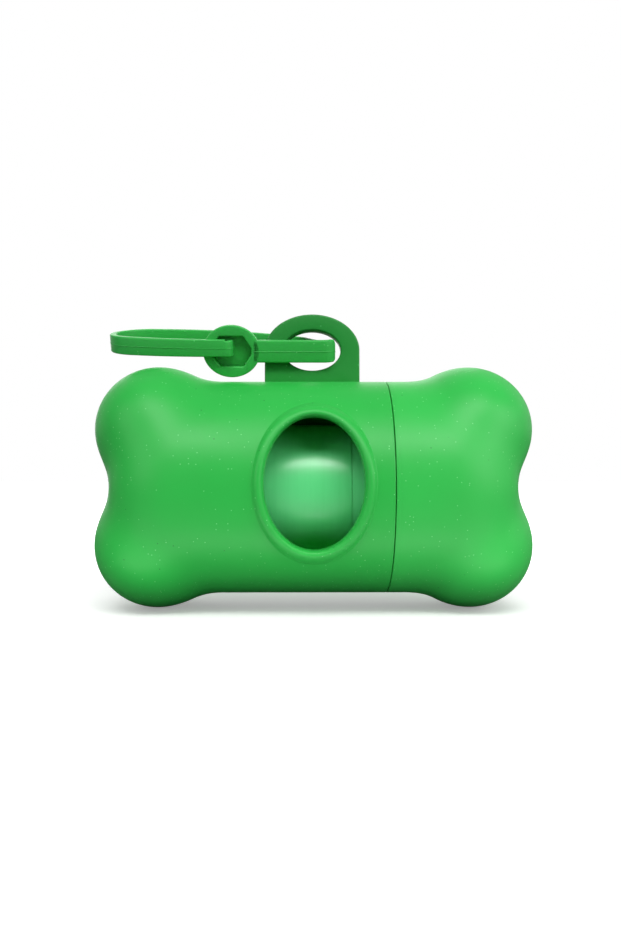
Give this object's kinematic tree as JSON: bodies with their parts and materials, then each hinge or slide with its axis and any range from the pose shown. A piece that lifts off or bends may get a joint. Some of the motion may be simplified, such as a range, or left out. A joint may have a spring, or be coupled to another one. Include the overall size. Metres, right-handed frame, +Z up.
{
  "type": "dog waste bag dispenser",
  "caption": "Bone-shaped two-part case that holds a roll of dog waste bags, with an oval dispensing window, a pull-off end cap and a looped strap through its lug.",
  "frame": {"origin": "on the surface the object stands on, under the middle of its bounding box; the barrel's axis is 23.3 mm above it", "axes": "+X along the barrel towards the end cap, -Y towards the dispensing window, +Z up towards the lug"},
  "size_m": [0.0842, 0.0418, 0.0569],
  "materials": {
    "shell": "fine-textured moulded plastic, matte with a soft sheen, with tiny light specks",
    "strap": "flexible moulded elastomer, satin",
    "card": "plain wound grey-brown card",
    "film": "thin glossy polyethylene film, folded and wound, mint green"
  },
  "bodies": {
    "barrel": {"barrel": "shell"},
    "end_cap": {"end_cap": "shell"},
    "strap": {"strap": "strap"},
    "bag_roll": {"roll_core": "card", "wound_bags": "film", "leading_bag": "film"}
  },
  "joints": [
    {"name": "cap_pull", "type": "slide", "parent": "barrel", "child": "end_cap", "axis": [1, 0, 0], "range_m": [0, 0.02]},
    {"name": "strap_swing", "type": "hinge", "parent": "barrel", "child": "strap", "pos_m": [0.0019, 0, 0.0499], "axis": [0, 1, 0], "range_deg": [0, 180]},
    {"name": "roll_spin", "type": "hinge", "parent": "barrel", "child": "bag_roll", "pos_m": [0, 0, 0.02185], "axis": [1, 0, 0], "continuous": true}
  ]
}
